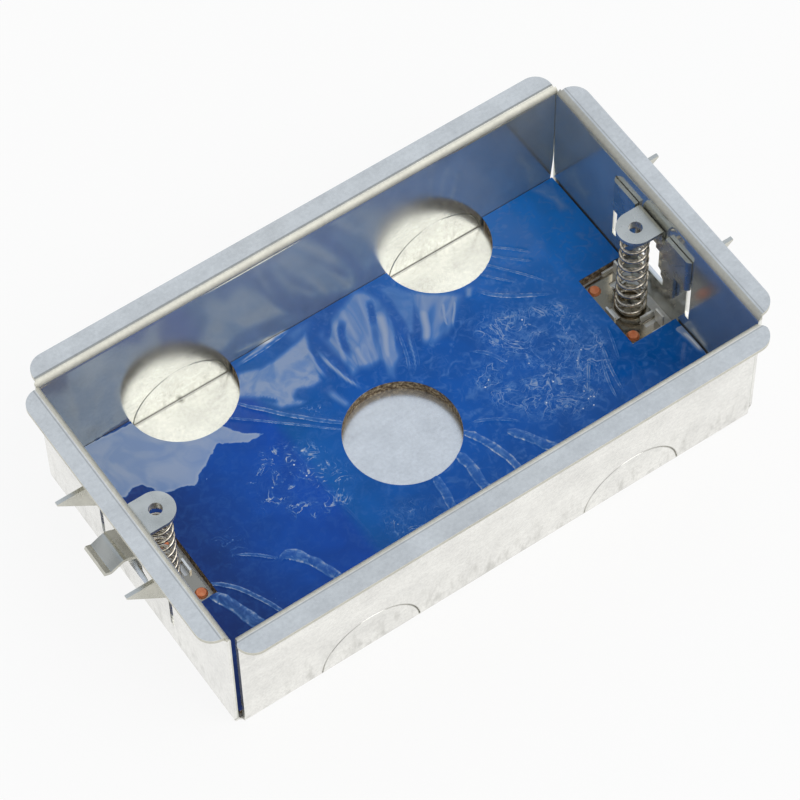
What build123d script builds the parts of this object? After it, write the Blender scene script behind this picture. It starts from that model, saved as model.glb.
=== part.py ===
from build123d import *
from math import cos, pi, sin
import os

# Cavity wall box for two wiring accessories side by side, in millimetres.
# The origin is the middle of the base's underside, +X runs along the box and +Z out of the wall.

# Tray: one blank of galvanised sheet, folded up on four sides and out again at the rim
inside_length = 130.5
inside_width = 71.8
depth = 36.0
sheet = 1.0
base_fold = 0.3
rim_fold = 1.0
side_flange = 5.2
end_flange = 4.4
flange_round = 4.0
flange_setback = 0.5
corner_gap = 0.15
corner_lap = 0.65
corner_relief_rise = 0.4
back_corner_spread = 1.7
back_corner_height = 19.0

# Knock-outs: discs part sheared, which shows as a fine line round each of them
knockout_diameter = 24.4
knockout_spacing = 66.4
knockout_line_width = 0.35
knockout_line_depth = 0.35

# Lug brackets: sprung sheet brackets that slide on the end walls
bracket_sheet = 0.9
bracket_slide_gap = 0.15
bracket_bend = 0.3
lug_travel = 9.3
lug_drop = 5.3
lug_reach = 4.95
lug_width = 8.5
lug_hole_diameter = 3.0
lug_collar_wall = 0.6
lug_collar_height = 1.2
lug_notch_width = 1.2
lug_notch_depth = 2.6
shoulder_drop = 1.1
shoulder_height = 10.4
spike_spacing = 26.4
spike_reach = 9.65
spike_tip = 0.5
leg_gap = 9.4
leg_gap_drop = 7.7
leg_width = 4.4
leg_tip = 0.9
leg_taper = 4.3
leg_stop_gap = 0.8
tongue_drop = 6.95
tongue_neck = 4.2
tongue_head = 7.8
tongue_head_round = 0.6
tongue_relief = 0.4
tongue_bend = 0.5
tongue_rise_start = 0.8
tongue_crest = (4.3, 1.9)
tongue_valley = (7.7, 0.1)
tongue_lip = (9.1, 0.75)
tongue_curve = 1.6

# Openings in the end walls that let the spikes and the tongue through
slot_side_gap = 0.2
slot_top_gap = 0.4
slot_run_out = 1.7
window_side_gap = 0.4
window_head_gap = 0.5
window_top_gap = 0.3
window_run_out = 4.2
window_head_height = 4.1
window_shoulder = 1.1

# Base clips: bright plates under the springs, with tabs lanced up round each spring's foot
clip_sheet = 0.5
clip_inner_reach = 6.1
clip_width = 18.6
clip_corner = 1.0
clip_leg_gap = 1.15
clip_lip_height = 4.5
clip_lip_width = 2.7
clip_lip_setback = 0.4
clip_lip_inset = 0.3
clip_tab_length = 3.4
clip_tab_height = 1.2
clip_tab_shift = 0.8
clip_side_tab_lean = 0.7
clip_edge_tab_lean = 0.4
clip_end_tab_offset = 5.1
clip_side_tab_offset = 5.8

# Rivets through each clip and the base
rivet_inner_offset = 4.5
rivet_spacing = 14.2
rivet_head_diameter = 2.9
rivet_top_diameter = 2.1
rivet_head_height = 0.6
rivet_shank_diameter = 1.8
rivet_hole_gap = 0.03

# Lug springs: open coils, a little wider at the foot
spring_foot_diameter = 7.3
spring_top_diameter = 6.5
spring_wire = 0.85
spring_wire_sides = 5
spring_turns = 9.5
spring_turn_sides = 10
spring_end_gap = 0.05

# Fire pad on the base, and the film over it
pad_thickness = 2.8
film_thickness = 0.2
pad_side_gap = 0.1
pad_end_gap = 0.3
pad_corner = 1.5
pad_base_hole_diameter = 26.0
pad_side_cut_diameter = 25.6
pad_clip_gap = 0.7
pad_clip_corner = 0.8

# Main folds that the slack film lies in, from one end to the other
film_fold_width = 1.8
film_fold_height = 0.45
film_fold_slope = 55
film_folds = [
    ((-4, 32), (0, 14)),
    ((-6, 31), (-7, 18)),
    ((12, 27), (6, 13)),
    ((15, 24), (10, 12)),
    ((-23, 28), (-7, 12)),
    ((-27, 25), (-9, 10)),
    ((25, 25), (17, 15)),
    ((35, 22), (46, 11)),
    ((-53, -11), (-46, -22)),
    ((11, -9), (15, -24)),
    ((7, -12), (6, -24)),
    ((-1, -14), (-2, -24)),
    ((19, -14), (25, -24)),
]

# Places that follow from the sizes above
half_length = inside_length / 2
half_width = inside_width / 2
end_outer = half_length + sheet
outer_base_fold = base_fold + sheet
outer_rim_fold = rim_fold + sheet
lug_x = half_length - lug_reach
lug_top = depth - lug_drop
lug_underside = lug_top - bracket_sheet
shoulder_top = lug_top - shoulder_drop
wing_bottom = shoulder_top - shoulder_height
bracket_back = half_length - bracket_slide_gap
bracket_front = bracket_back - bracket_sheet
leg_bottom = sheet + leg_stop_gap + lug_travel
tongue_level = lug_top - tongue_drop
clip_top = sheet + clip_sheet
clip_inner = lug_x - clip_inner_reach
clip_outer = bracket_front - clip_leg_gap
rivet_x = lug_x - rivet_inner_offset
rivet_y = rivet_spacing / 2
knockout_x = knockout_spacing / 2
standing = (Align.CENTER, Align.CENTER, Align.MIN)


def block(x_span, y_span, z_span):
    """Square-cornered block between a low and a high place on each axis."""
    spans = (x_span, y_span, z_span)
    sizes = [high - low for low, high in spans]
    middle = [(low + high) / 2 for low, high in spans]
    return Pos(*middle) * Box(*sizes)


def across(outline, half_thickness):
    """Solid from an outline drawn in X and Z, as thick each way along Y."""
    return extrude(Plane.XZ * make_face(outline), half_thickness, both=True)


def folded_side(inner_face, run, flange):
    """Wall on the +Y side with its fold at the base, its fold at the rim and its flange."""
    outer_face = inner_face + sheet
    land = inner_face - 2 * base_fold
    tip = outer_face + flange
    end = run / 2
    flange_end = end - flange_setback
    rounding = min(flange_round, 0.9 * flange)
    section = FilletPolyline(
        (land, 0),
        (outer_face, 0),
        (outer_face, depth - sheet),
        (tip, depth - sheet),
        (tip, depth),
        (inner_face, depth),
        (inner_face, sheet),
        (land, sheet),
        radius=[0, outer_base_fold, rim_fold, 0, 0, outer_rim_fold, base_fold, 0],
        close=True,
    )
    outline = FilletPolyline(
        (-end, land),
        (-end, outer_face),
        (-flange_end, outer_face),
        (-flange_end, tip),
        (flange_end, tip),
        (flange_end, outer_face),
        (end, outer_face),
        (end, land),
        radius=[0, 0, 0, rounding, rounding, 0, 0, 0],
        close=True,
    )
    side = extrude(Plane.YZ * make_face(section), end, both=True)
    return side & extrude(make_face(outline), depth)


def knockout_line():
    """Groove of V section round a knock-out, cut upwards from its own level."""
    middle = knockout_diameter / 2
    section = Polyline(
        (middle - knockout_line_width / 2, 0),
        (middle + knockout_line_width / 2, 0),
        (middle, knockout_line_depth),
        close=True,
    )
    return revolve(Plane.XZ * make_face(section), axis=Axis.Z)


def knockout_grooves():
    """Lines of the knock-outs, in the base's underside and in both faces of the long walls."""
    line = knockout_line()
    base_half = half_width - base_fold
    in_base = block((-half_length, half_length), (-base_half, base_half), (0, sheet))
    above_fold = (outer_base_fold, depth)
    grooves = [line]
    for x in (-knockout_x, knockout_x):
        for side in (-1, 1):
            grooves.append(Pos(x, side * half_width, 0) * line & in_base)
            for y, into in ((half_width, 1), (half_width + sheet, -1)):
                upright = Pos(x, side * y, 0) * Rot(X=-90 * side * into) * line
                near = block((-half_length, half_length), sorted((side * y, side * (y + into))), above_fold)
                grooves.append(upright & near)
    return grooves


def end_wall_openings():
    """Slots for the spikes and keyhole window for the tongue, through both end walls."""
    reach = (-end_outer - sheet, end_outer + sheet)
    slot_half = bracket_sheet / 2 + slot_side_gap
    slot_span = (wing_bottom - lug_travel - slot_run_out, shoulder_top + slot_top_gap)
    openings = []
    for y in (-spike_spacing / 2, spike_spacing / 2):
        openings.append(block(reach, (y - slot_half, y + slot_half), slot_span))
    neck = tongue_neck / 2 + window_side_gap
    head = tongue_head / 2 + window_head_gap
    low = tongue_level - bracket_sheet / 2 - lug_travel - window_run_out
    head_top = low + window_head_height
    neck_bottom = head_top + window_shoulder
    top = tongue_level + bracket_sheet / 2 + window_top_gap
    window = Polyline(
        (-head, low),
        (head, low),
        (head, head_top),
        (neck, neck_bottom),
        (neck, top),
        (-neck, top),
        (-neck, neck_bottom),
        (-head, head_top),
        close=True,
    )
    openings.append(extrude(Plane.YZ * make_face(window), reach[1], both=True))
    return openings


def box_shell():
    """Folded tray with flanges, corner slits, knock-outs and end-wall openings."""
    side = folded_side(half_width, inside_length + 2 * corner_lap, side_flange)
    end = folded_side(half_length, inside_width - 2 * corner_gap, end_flange)
    side_end = half_length + corner_lap
    spread = Polyline(
        (side_end - back_corner_spread, 0),
        (side_end + sheet, 0),
        (side_end + sheet, back_corner_height),
        (side_end, back_corner_height),
        close=True,
    )
    right_spread = across(spread, half_width + outer_rim_fold)
    back = side - right_spread - mirror(right_spread, about=Plane.YZ)
    base = Box(inside_length - 2 * base_fold, inside_width - 2 * base_fold, sheet, align=standing)
    shell = base + back + Rot(Z=180) * side + Rot(Z=-90) * end + Rot(Z=90) * end

    relief = Box(
        outer_base_fold, outer_base_fold, outer_base_fold + corner_relief_rise, align=standing
    )
    relief_x = half_length - base_fold + outer_base_fold / 2
    relief_y = half_width - base_fold + outer_base_fold / 2
    cuts = []
    for x in (-relief_x, relief_x):
        for y in (-relief_y, relief_y):
            cuts.append(Pos(x, y, 0) * relief)
    hole = Cylinder(rivet_shank_diameter / 2 + rivet_hole_gap, sheet, align=standing)
    for x in (-rivet_x, rivet_x):
        for y in (-rivet_y, rivet_y):
            cuts.append(Pos(x, y, 0) * hole)
    cuts += end_wall_openings()
    cuts += knockout_grooves()
    return shell - cuts


def bracket_lug():
    """D-shaped lug bent inwards off the bracket's top, with its collared screw hole."""
    nose = lug_x - lug_width / 2
    root = shoulder_top - lug_notch_depth
    section = FilletPolyline(
        (nose, lug_underside),
        (bracket_front, lug_underside),
        (bracket_front, root),
        (bracket_back, root),
        (bracket_back, lug_top),
        (nose, lug_top),
        radius=[0, bracket_bend, 0, 0, bracket_bend + bracket_sheet, 0],
        close=True,
    )
    straight = Pos((lug_x + bracket_back) / 2, 0) * Rectangle(bracket_back - lug_x, lug_width)
    plan = Pos(lug_x, 0) * Circle(lug_width / 2) + straight
    lug = across(section, lug_width / 2) & extrude(plan, depth)
    hole_radius = lug_hole_diameter / 2
    collar_bottom = lug_underside - lug_collar_height
    collar = Cylinder(hole_radius + lug_collar_wall, lug_collar_height, align=standing)
    hole = Cylinder(hole_radius, lug_collar_height + bracket_sheet, align=standing)
    return lug + Pos(lug_x, 0, collar_bottom) * collar - Pos(lug_x, 0, collar_bottom) * hole


def bracket_tongue():
    """T-shaped tongue bent outwards through the keyhole window and waved up and down."""
    root_x = (bracket_front + bracket_back) / 2
    root_radius = tongue_bend + bracket_sheet / 2
    wave = []
    for out, up in ((tongue_rise_start, 0), tongue_crest, tongue_valley, tongue_lip):
        wave.append((end_outer + out, tongue_level + up))
    path = FilletPolyline(
        (root_x, tongue_level + 2 * root_radius),
        (root_x, tongue_level),
        *wave,
        radius=[root_radius, tongue_curve, tongue_curve, tongue_curve / 2],
    )
    ribbon = Plane.XZ * trace(path, bracket_sheet)
    head_x = end_outer + tongue_relief
    tip_x = end_outer + tongue_lip[0] + bracket_sheet
    neck = tongue_neck / 2
    head = tongue_head / 2
    plan = FilletPolyline(
        (bracket_front, -neck),
        (head_x, -neck),
        (head_x, -head),
        (tip_x, -head),
        (tip_x, head),
        (head_x, head),
        (head_x, neck),
        (bracket_front, neck),
        radius=[0, 0, tongue_head_round, 0, 0, tongue_head_round, 0, 0],
        close=True,
    )
    return extrude(ribbon, head, both=True) & extrude(make_face(plan), depth)


def bracket_leg():
    """Leg on the +Y side, tapered to a tip on its inner edge."""
    inner = leg_gap / 2
    outer = inner + leg_width
    outline = Polyline(
        (inner, leg_bottom + leg_taper),
        (outer - leg_tip, leg_bottom),
        (outer, leg_bottom),
        (outer, wing_bottom),
        (inner, wing_bottom),
        close=True,
    )
    return Pos(bracket_front, 0, 0) * extrude(Plane.YZ * make_face(outline), bracket_sheet)


def lug_bracket():
    """Bracket of the +X end: web, spikes, lug, legs and tongue in one bent sheet."""
    tip_x = end_outer + spike_reach
    outside = (spike_spacing + bracket_sheet) / 2
    inside = outside - bracket_sheet
    bend = bracket_bend + bracket_sheet
    channel = FilletPolyline(
        (tip_x, -outside),
        (bracket_front, -outside),
        (bracket_front, outside),
        (tip_x, outside),
        (tip_x, inside),
        (bracket_back, inside),
        (bracket_back, -inside),
        (tip_x, -inside),
        radius=[0, bend, bend, 0, 0, bracket_bend, bracket_bend, 0],
        close=True,
    )
    below_spikes = Polyline(
        (half_length, wing_bottom),
        (tip_x + bracket_sheet, wing_bottom),
        (tip_x + bracket_sheet, shoulder_top - spike_tip),
        (tip_x, shoulder_top - spike_tip),
        close=True,
    )
    through = (bracket_front - bracket_sheet, bracket_back + bracket_sheet)
    lug_half = lug_width / 2 + lug_notch_width
    gap_half = leg_gap / 2
    neck_half = tongue_neck / 2 + tongue_relief
    bend_top = tongue_level + tongue_bend + bracket_sheet / 2
    bracket = Pos(0, 0, wing_bottom) * extrude(make_face(channel), shoulder_height)
    bracket -= across(below_spikes, spike_spacing)
    bracket -= block(through, (-lug_half, lug_half), (shoulder_top - lug_notch_depth, depth))
    bracket -= block(through, (-gap_half, gap_half), (sheet, lug_top - leg_gap_drop))
    bracket -= block(through, (-neck_half, neck_half), (sheet, bend_top))
    leg = bracket_leg()
    return bracket + bracket_lug() + bracket_tongue() + leg + mirror(leg, about=Plane.XZ)


def lug_spring():
    """Open coil that stands on the clip under the lug's hole, at the +X end."""
    foot_radius = (spring_foot_diameter - spring_wire) / 2
    top_radius = (spring_top_diameter - spring_wire) / 2
    low = clip_top + spring_wire / 2 + spring_end_gap
    high = lug_underside - spring_wire / 2 - spring_end_gap
    steps = round(spring_turns * spring_turn_sides)
    points = []
    for step in range(steps + 1):
        share = step / steps
        radius = foot_radius + (top_radius - foot_radius) * share
        angle = 2 * pi * step / spring_turn_sides
        points.append((radius * cos(angle), radius * sin(angle), low + (high - low) * share))
    coil = Polyline(*points)
    wire = Plane(origin=coil @ 0, z_dir=coil % 0) * RegularPolygon(spring_wire / 2, spring_wire_sides)
    return Pos(lug_x, 0, 0) * sweep(wire, path=coil, transition=Transition.RIGHT)


def leaning_tab(foot_y, lean):
    """Tab along X that stands on the base at a place across the clip and leans from there."""
    top = clip_top + clip_tab_height
    outline = Polyline(
        (foot_y - clip_sheet / 2, sheet),
        (foot_y + clip_sheet / 2, sheet),
        (foot_y + clip_sheet / 2 + lean, top),
        (foot_y - clip_sheet / 2 + lean, top),
        close=True,
    )
    tab = extrude(Plane.YZ * make_face(outline), clip_tab_length / 2, both=True)
    return Pos(lug_x + clip_tab_shift, 0, 0) * tab


def base_clip():
    """Plate under the +X spring, with lips lanced up before the legs and tabs round the spring."""
    half_clip = clip_width / 2
    half_tab = clip_tab_length / 2
    plate_height = (sheet, clip_top)
    plate = extrude(RectangleRounded(clip_outer - clip_inner, clip_width, clip_corner), clip_sheet)
    clip = Pos((clip_inner + clip_outer) / 2, 0, sheet) * plate

    lip_x = clip_outer - clip_lip_setback
    lip_height = (sheet, sheet + clip_lip_height)
    lip_edge = half_clip - clip_lip_inset
    end_tab = lug_x - clip_end_tab_offset
    tab_height = (sheet, clip_top + clip_tab_height)
    tab_middle = lug_x + clip_tab_shift
    tab_run = (tab_middle - half_tab, tab_middle + half_tab)
    clip -= block((end_tab, end_tab + clip_tab_height), (-half_tab, half_tab), plate_height)
    clip += block((end_tab - clip_sheet, end_tab), (-half_tab, half_tab), tab_height)
    for side in (-1, 1):
        lip_span = sorted((side * lip_edge, side * (lip_edge - clip_lip_width)))
        clip -= block((lip_x, clip_outer + clip_sheet), lip_span, plate_height)
        clip += block((lip_x - clip_sheet, lip_x), lip_span, lip_height)
        tab_foot = side * (clip_side_tab_offset - clip_sheet / 2)
        lanced = sorted((side * clip_side_tab_offset, side * (clip_side_tab_offset + clip_tab_height)))
        clip -= block(tab_run, lanced, plate_height)
        clip += leaning_tab(tab_foot, -side * clip_side_tab_lean)
        clip += leaning_tab(side * (half_clip - clip_sheet / 2), side * clip_edge_tab_lean)

    hole = Cylinder(rivet_shank_diameter / 2 + rivet_hole_gap, clip_sheet, align=standing)
    for y in (-rivet_y, rivet_y):
        clip -= Pos(rivet_x, y, sheet) * hole
    return clip


def clip_rivets():
    """Two bevelled rivets of the +X clip, set flush with the underside of the base."""
    head = Cone(rivet_head_diameter / 2, rivet_top_diameter / 2, rivet_head_height, align=standing)
    shank = Cylinder(rivet_shank_diameter / 2, clip_top, align=standing)
    rivet = shank + Pos(0, 0, clip_top) * head
    return [Pos(rivet_x, y, 0) * rivet for y in (-rivet_y, rivet_y)]


def pad_outline():
    """Plan of the fire pad and its film, with its holes and cut-outs."""
    length = inside_length - 2 * (base_fold + pad_end_gap)
    width = inside_width - 2 * (base_fold + pad_side_gap)
    plan = RectangleRounded(length, width, pad_corner)
    plan -= Circle(pad_base_hole_diameter / 2)
    for x in (-knockout_x, knockout_x):
        for y in (-half_width, half_width):
            plan -= Pos(x, y) * Circle(pad_side_cut_diameter / 2)
    cut_inner = clip_inner - pad_clip_gap
    cut_width = clip_width + 2 * pad_clip_gap
    clip_cut = RectangleRounded(2 * (half_length - cut_inner), cut_width, pad_clip_corner)
    for x in (-half_length, half_length):
        plan -= Pos(x, 0) * clip_cut
    return plan


def film_fold(start, end):
    """Fold of the film as a low ridge that runs out to a point at both ends."""
    start, end = Vector(*start), Vector(*end)
    run = (end - start).normalized()
    half = Vector(-run.Y, run.X) * film_fold_width / 2
    middle = (start + end) / 2
    outline = Polyline(start, middle - half, end, middle + half, close=True)
    return extrude(make_face(outline), film_fold_height, taper=film_fold_slope)


def pad_film(plan):
    """Film over the pad, with its main folds kept within its edges."""
    folds = [film_fold(*ends) for ends in film_folds]
    ridges = Part() + folds & extrude(plan, film_fold_height)
    return extrude(plan, film_thickness) + Pos(0, 0, film_thickness) * ridges


plan = pad_outline()
bracket = lug_bracket()
spring = lug_spring()
clip = base_clip()
rivets = clip_rivets()

nodes = {
    "box_shell": box_shell(),
    "fire_pad": Pos(0, 0, sheet) * extrude(plan, pad_thickness),
    "pad_film": Pos(0, 0, sheet + pad_thickness) * pad_film(plan),
    "lug_bracket_right": bracket,
    "lug_bracket_left": mirror(bracket, about=Plane.YZ),
    "lug_spring_right": spring,
    "lug_spring_left": Pos(-2 * lug_x, 0, 0) * spring,
    "base_clip_right": clip,
    "base_clip_left": mirror(clip, about=Plane.YZ),
    "clip_rivets_right": Compound(children=rivets),
    "clip_rivets_left": Compound(children=[mirror(rivet, about=Plane.YZ) for rivet in rivets]),
}

os.makedirs("parts", exist_ok=True)
for name, shape in nodes.items():
    export_step(shape, f"parts/{name}.step")
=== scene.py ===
import math

import bpy
import numpy as np
from mathutils import Matrix, Vector, noise


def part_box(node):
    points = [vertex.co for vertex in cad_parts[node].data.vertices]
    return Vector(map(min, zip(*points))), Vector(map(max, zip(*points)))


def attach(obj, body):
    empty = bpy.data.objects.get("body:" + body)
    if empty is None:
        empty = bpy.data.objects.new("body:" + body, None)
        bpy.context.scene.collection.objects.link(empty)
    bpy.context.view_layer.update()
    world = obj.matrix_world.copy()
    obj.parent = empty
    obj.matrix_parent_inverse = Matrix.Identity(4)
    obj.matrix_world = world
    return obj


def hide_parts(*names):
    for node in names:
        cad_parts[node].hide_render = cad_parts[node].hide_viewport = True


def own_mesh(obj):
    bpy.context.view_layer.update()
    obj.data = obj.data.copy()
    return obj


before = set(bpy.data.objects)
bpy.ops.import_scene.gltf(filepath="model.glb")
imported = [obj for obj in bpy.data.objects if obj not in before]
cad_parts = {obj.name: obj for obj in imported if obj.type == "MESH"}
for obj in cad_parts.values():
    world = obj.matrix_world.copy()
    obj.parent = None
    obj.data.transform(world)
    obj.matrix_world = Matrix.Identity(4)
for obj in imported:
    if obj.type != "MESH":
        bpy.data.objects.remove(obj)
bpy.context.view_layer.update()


# Box shell
# The tray is folded from one blank of hot-dip galvanised sheet, 1 mm thick, with its rim turned
# out into flanges. The near wall's ends stop short of the end walls, so both near corners are open.
MM = 0.001


def linear(code):
    """Linear colour of an sRGB hex code."""
    parts = [int(code[i:i + 2], 16) / 255 for i in (1, 3, 5)]
    curve = [c / 12.92 if c <= 0.04045 else ((c + 0.055) / 1.055) ** 2.4 for c in parts]
    return (*curve, 1)


def put(tree, kind, inputs=None, stops=(), **settings):
    """Adds a node with its settings and colour stops, and sets or links its inputs.

    A node that is given as an input is linked by its first output in use.
    """
    node = tree.nodes.new(kind)
    for name, value in settings.items():
        setattr(node, name, value)
    for name, value in (inputs or {}).items():
        if isinstance(value, bpy.types.Node):
            value = next(socket for socket in value.outputs if socket.enabled)
        if isinstance(value, bpy.types.NodeSocket):
            tree.links.new(value, node.inputs[name])
        else:
            node.inputs[name].default_value = value
    if stops:
        elements = node.color_ramp.elements
        while len(elements) < len(stops):
            elements.new(0.5)
        for element, (place, colour) in zip(elements, stops):
            element.position = place
            element.color = colour
    return node


def start_material(name, **sockets):
    """New material with a Principled shader whose even values are set on its own sockets."""
    material = bpy.data.materials.new(name)
    material.use_nodes = True
    shader = material.node_tree.nodes["Principled BSDF"]
    for socket, value in sockets.items():
        shader.inputs[socket.replace("_", " ")].default_value = value
    return material, material.node_tree, shader


def grey(value):
    """Even grey for a ramp that drives a number."""
    return (value, value, value, 1)


def dress(nodes, material):
    """Gives CAD nodes a material."""
    for name in nodes:
        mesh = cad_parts[name].data
        mesh.materials.clear()
        mesh.materials.append(material)


# Hot-dip galvanised steel: a frosted mirror, clearer where the rolls and hands have rubbed it, with
# faint crystals, a fine grain, roll marks along the sheet, and grey runs along the lower edges where it
# was handled. Painted shade darkens the fold round the base, the knock-outs' grooves and a line along
# each flange. The inside and the rim are duller and painted darker: painted shade inside, and on the
# rim fold a painted shade that tones down its highlight. The zinc under the clips is chalky white.
spangle_size = 6 * MM
cloud_size = 16 * MM
grain_size = 0.7 * MM
rub_size = 26 * MM
roll_length = 45 * MM
roll_width = 0.9 * MM
fold_y = 35.9 * MM
fold_z = 1.0 * MM
fold_shade_reach = 0.55 * MM
base_roughness = 0.25
rim_roughness = 0.5
clip_bay = 53.5 * MM
base_middle = 0.5 * MM
bay_metal = 0.5
bay_roughness = 0.35
# Painted shade: a thin dark line along each flange, where its flat part turns into the fold
bend_x = 67.1 * MM
bend_y = 37.7 * MM
bend_shade_half = 0.25 * MM
bend_shade = 0.5
# Painted shade: the knock-outs' grooves on the walls are darkened, which also dims their glints
knockout_x = 33.2 * MM
knockout_radius = 12.2 * MM
groove_shade_half = 0.4 * MM
groove_shade = 0.55
wall_face = 35.7 * MM
flange_top = 35.9 * MM
inside_x = 65.6 * MM
inside_y = 36.2 * MM
inside_top = 34.6 * MM
run_width = 1.8 * MM
run_length = 5 * MM
run_foot = 1.2 * MM
run_height = 14 * MM
punch_mark = Vector((-33.4, 35.6, 1.2)) * MM
punch_mark_size = 1.1 * MM
zinc_metal = 0.84
zinc_metal_inside = 0.77
zinc, tree, shader = start_material("galvanised_sheet")
place = put(tree, "ShaderNodeTexCoord").outputs["Object"]
spangle = put(tree, "ShaderNodeTexVoronoi", {"Vector": place, "Scale": 1 / spangle_size})
clouds = put(
    tree,
    "ShaderNodeTexNoise",
    {"Vector": place, "Scale": 1 / cloud_size, "Detail": 5.0, "Roughness": 0.6, "Distortion": 0.6},
)
grain = put(tree, "ShaderNodeTexNoise", {"Vector": place, "Scale": 1 / grain_size, "Detail": 3.0})
mottle = put(tree, "ShaderNodeMix", {"Factor": 0.25, "A": clouds, "B": spangle})
speckle = put(tree, "ShaderNodeMix", {"Factor": 0.4, "A": mottle, "B": grain})
rolled = put(
    tree,
    "ShaderNodeMapping",
    {"Vector": place, "Scale": (1 / roll_length, 1 / roll_width, 1 / roll_width)},
)
rolls = put(tree, "ShaderNodeTexNoise", {"Vector": rolled, "Scale": 1.0, "Detail": 2.0})
surface = put(tree, "ShaderNodeMix", {"Factor": 0.12, "A": speckle, "B": rolls})
bright = put(
    tree,
    "ShaderNodeValToRGB",
    {"Fac": surface},
    stops=[(0.32, linear("#dcdbd7")), (0.62, linear("#f6f5f0"))],
)
upright = put(
    tree,
    "ShaderNodeMapping",
    {"Vector": place, "Scale": (1 / run_width, 1 / run_width, 1 / run_length)},
)
runs = put(tree, "ShaderNodeTexNoise", {"Vector": upright, "Scale": 1.0, "Detail": 3.0})
run_marks = put(tree, "ShaderNodeValToRGB", {"Fac": runs}, stops=[(0.5, grey(0)), (0.75, grey(0.45))])
axes = put(tree, "ShaderNodeSeparateXYZ", {"Vector": place})
height = axes.outputs["Z"]
low_down = put(
    tree,
    "ShaderNodeMapRange",
    {"Value": height, "From Min": run_height, "From Max": run_foot},
)
off_base = put(tree, "ShaderNodeMath", {0: height, 1: run_foot}, operation="GREATER_THAN")
lower_walls = put(tree, "ShaderNodeMath", {0: low_down, 1: off_base}, operation="MULTIPLY")
handled = put(tree, "ShaderNodeMath", {0: run_marks, 1: lower_walls}, operation="MULTIPLY")
from_mark = put(tree, "ShaderNodeVectorMath", {0: place, 1: punch_mark}, operation="DISTANCE")
mark_share = put(
    tree,
    "ShaderNodeMapRange",
    {"Value": from_mark, "From Min": punch_mark_size, "From Max": 0.0},
)
marks = put(tree, "ShaderNodeMath", {0: handled, 1: mark_share}, operation="MAXIMUM")
aside = put(tree, "ShaderNodeMath", {0: axes.outputs["Y"]}, operation="ABSOLUTE")
section = put(tree, "ShaderNodeCombineXYZ", {"X": aside, "Y": height})
# Painted shade: a dark line along the fold round the base, where the base meets the walls
from_fold = put(tree, "ShaderNodeVectorMath", {0: section, 1: (fold_y, fold_z, 0)}, operation="DISTANCE")
painted_fold_shade = put(tree, "ShaderNodeMapRange", {"Value": from_fold, "From Min": fold_shade_reach, "From Max": 0.0})
dirt_and_shade = put(tree, "ShaderNodeMath", {0: marks, 1: painted_fold_shade}, operation="MAXIMUM")
across = put(tree, "ShaderNodeMath", {0: axes.outputs["X"]}, operation="ABSOLUTE")
on_flange = put(tree, "ShaderNodeMath", {0: height, 1: flange_top}, operation="GREATER_THAN")
on_wall = put(tree, "ShaderNodeMath", {0: aside, 1: wall_face}, operation="GREATER_THAN")
off_middle = put(tree, "ShaderNodeMath", {0: across, 1: knockout_x}, operation="SUBTRACT")
spoke = put(tree, "ShaderNodeCombineXYZ", {"X": off_middle, "Y": height})
reach = put(tree, "ShaderNodeVectorMath", {0: spoke}, operation="LENGTH")
# Painted shade along lines: the flange's bend lines and the knock-outs' grooves
for value, line, half, share, part in (
    (across, bend_x, bend_shade_half, bend_shade, on_flange),
    (aside, bend_y, bend_shade_half, bend_shade, on_flange),
    (reach, knockout_radius, groove_shade_half, groove_shade, on_wall),
):
    off_line = put(tree, "ShaderNodeMath", {0: value, 1: line}, operation="SUBTRACT")
    apart = put(tree, "ShaderNodeMath", {0: off_line}, operation="ABSOLUTE")
    line_or_tab_value = put(
        tree,
        "ShaderNodeMapRange",
        {"Value": apart, "From Min": half, "From Max": 0.0, "To Max": share},
    )
    along_line = put(tree, "ShaderNodeMath", {0: line_or_tab_value, 1: part}, operation="MULTIPLY")
    dirt_and_shade = put(tree, "ShaderNodeMath", {0: dirt_and_shade, 1: along_line}, operation="MAXIMUM")
# Painted shade: the inside walls are painted darker, and are less metallic too
inside = off_base
for value, limit in ((across, inside_x), (aside, inside_y), (height, inside_top)):
    within = put(tree, "ShaderNodeMath", {0: value, 1: limit}, operation="LESS_THAN")
    inside = put(tree, "ShaderNodeMath", {0: inside, 1: within}, operation="MULTIPLY")
tone_with_painted_shade = put(
    tree,
    "ShaderNodeMix",
    {"Factor": inside, "A": bright, "B": linear("#e4e6e1")},
    data_type="RGBA",
    blend_type="MULTIPLY",
)
rim_up = put(tree, "ShaderNodeMath", {0: height, 1: inside_top}, operation="GREATER_THAN")
rim_fold = put(tree, "ShaderNodeMath", {0: rim_up, 1: on_flange}, operation="SUBTRACT")
# The flange tops are painted a touch darker, and the rim fold darker still, a painted shade that tones
# down its highlight
for part, cast in ((on_flange, "#f5f3ee"), (rim_fold, "#e2e1d9")):
    tone_with_painted_shade = put(
        tree,
        "ShaderNodeMix",
        {"Factor": part, "A": tone_with_painted_shade, "B": linear(cast)},
        data_type="RGBA",
        blend_type="MULTIPLY",
    )
tone = put(
    tree,
    "ShaderNodeMix",
    {"Factor": dirt_and_shade, "A": tone_with_painted_shade, "B": linear("#86857c")},
    data_type="RGBA",
)
tree.links.new(tone.outputs["Result"], shader.inputs["Base Color"])
rubbed = put(tree, "ShaderNodeTexNoise", {"Vector": place, "Scale": 1 / rub_size, "Detail": 1.0})
satin = put(tree, "ShaderNodeValToRGB", {"Fac": rubbed}, stops=[(0.3, grey(0.1)), (0.7, grey(0.21))])
frosted = put(tree, "ShaderNodeMix", {"Factor": off_base, "A": base_roughness, "B": satin})
finish = put(tree, "ShaderNodeMix", {"Factor": rim_fold, "A": frosted, "B": rim_roughness})
duller = put(tree, "ShaderNodeMix", {"Factor": inside, "A": zinc_metal, "B": zinc_metal_inside})
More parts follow.
